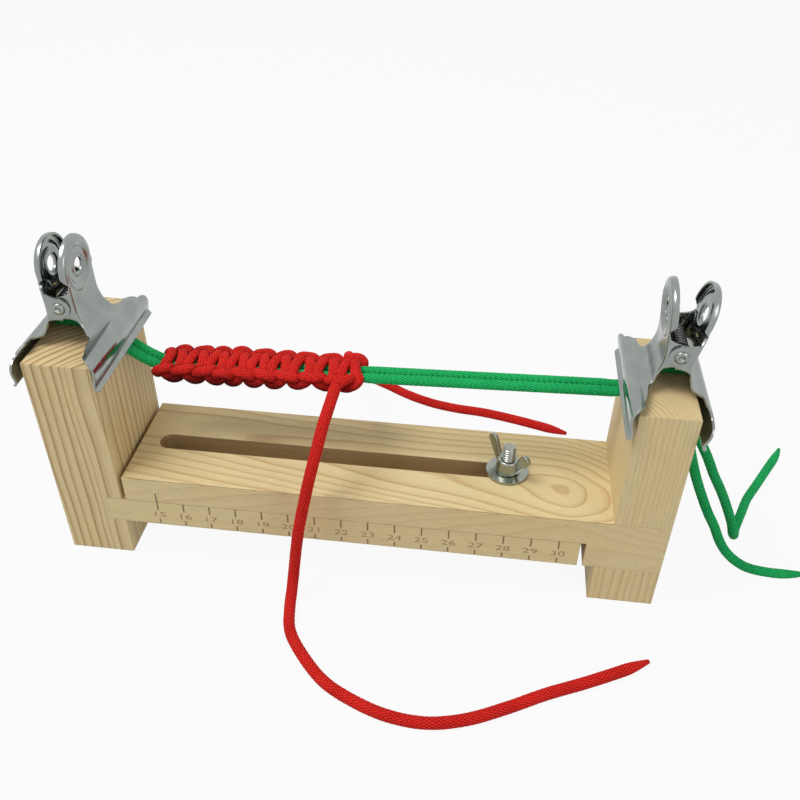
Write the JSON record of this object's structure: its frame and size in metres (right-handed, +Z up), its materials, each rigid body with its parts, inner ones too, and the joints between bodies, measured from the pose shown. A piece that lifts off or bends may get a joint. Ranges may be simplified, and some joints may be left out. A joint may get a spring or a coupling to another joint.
{
  "type": "cord braiding machine",
  "caption": "Wooden bench jig for knotting cord: two posts with sprung steel clips on a sliding plank base with a scale, slot and wing nut clamp, loaded with a part-knotted cord.",
  "frame": {"origin": "on the floor, in the middle of the wooden base's length and depth", "axes": "+X along the plank, from the left post to the right post; +Y from the scale's face to the back; +Z up"},
  "size_m": [0.298, 0.191, 0.1251],
  "materials": {
    "plank_wood": "planed pine, bare, cathedral grain",
    "slider_wood": "planed pine, bare, burnt-in scale marks",
    "post_wood": "planed pine, bare, fine upright grain",
    "left_post_wood": "planed pine, bare, strong upright rings",
    "foot_wood": "sawn pine, bare",
    "screw_steel": "zinc plated",
    "plated_steel": "zinc plated, satin",
    "washer_steel": "zinc plated, satin",
    "pin_steel": "nickel plated",
    "spring_wire": "bright drawn wire",
    "clip_steel": "nickel plated sheet, bright",
    "red_cord": "braided nylon sheath",
    "green_cord": "braided nylon sheath"
  },
  "bodies": {
    "base": {"upper_plank": "plank_wood", "right_post": "post_wood", "right_foot": "foot_wood", "right_screws": "screw_steel", "core_right": "green_cord", "core_span": "green_cord", "green_tail_front": "green_cord", "green_tail_back": "green_cord"},
    "slider": {"slider_plank": "slider_wood", "left_post": "left_post_wood", "left_screws": "screw_steel", "carriage_bolt": "plated_steel", "core_left": "green_cord", "weave": "red_cord", "red_tail_front": "red_cord", "red_tail_back": "red_cord"},
    "washer": {"flat_washer": "washer_steel"},
    "nut": {"wing_nut": "plated_steel"},
    "left_clip": {"left_clip_pin": "pin_steel", "left_clip_spring": "spring_wire"},
    "left_inner": {"left_clip_inner_jaw": "clip_steel"},
    "left_outer": {"left_clip_outer_jaw": "clip_steel"},
    "right_clip": {"right_clip_pin": "pin_steel", "right_clip_spring": "spring_wire"},
    "right_inner": {"right_clip_inner_jaw": "clip_steel"},
    "right_outer": {"right_clip_outer_jaw": "clip_steel"}
  },
  "joints": [
    {"name": "post_slide", "type": "slide", "parent": "base", "child": "slider", "axis": [-1, 0, 0], "range_m": [0, 0.131], "deforming": ["core_span"]},
    {"name": "nut_lift", "type": "slide", "parent": "slider", "child": "washer", "axis": [0, 0, 1], "range_m": [0, 0.0024]},
    {"name": "nut_turn", "type": "hinge", "parent": "washer", "child": "nut", "pos_m": [0.055, 0, 0.0404], "axis": [0, 0, 1], "range_deg": [0, 1080]},
    {"name": "left_clip_lift", "type": "slide", "parent": "slider", "child": "left_clip", "axis": [0, 0, 1], "range_m": [0, 0.03]},
    {"name": "left_jaw_open", "type": "hinge", "parent": "left_clip", "child": "left_inner", "pos_m": [-0.10125, 0, 0.1033], "axis": [0, -1, 0], "range_deg": [0, 6], "stiffness_Nm_per_rad": 0.3, "springref_deg": -22.92, "deforming": ["left_clip_spring"]},
    {"name": "left_outer_open", "type": "hinge", "parent": "left_clip", "child": "left_outer", "pos_m": [-0.10125, 0, 0.1033], "axis": [0, -1, 0], "range_deg": [-6, 0], "deforming": ["left_clip_spring"]},
    {"name": "right_clip_lift", "type": "slide", "parent": "base", "child": "right_clip", "axis": [0, 0, 1], "range_m": [0, 0.03]},
    {"name": "right_jaw_open", "type": "hinge", "parent": "right_clip", "child": "right_inner", "pos_m": [0.1049, 0, 0.1033], "axis": [0, 1, 0], "range_deg": [0, 10], "stiffness_Nm_per_rad": 0.3, "springref_deg": -22.92, "deforming": ["right_clip_spring"]},
    {"name": "right_outer_open", "type": "hinge", "parent": "right_clip", "child": "right_outer", "pos_m": [0.1049, 0, 0.1033], "axis": [0, 1, 0], "range_deg": [-10, 0], "deforming": ["right_clip_spring"]}
  ],
  "couplings": [
    {"joint": "nut_turn", "follows": "nut_lift", "rad_per_m": 7853.9},
    {"joint": "left_outer_open", "follows": "left_jaw_open", "ratio": -1},
    {"joint": "right_outer_open", "follows": "right_jaw_open", "ratio": -1}
  ]
}
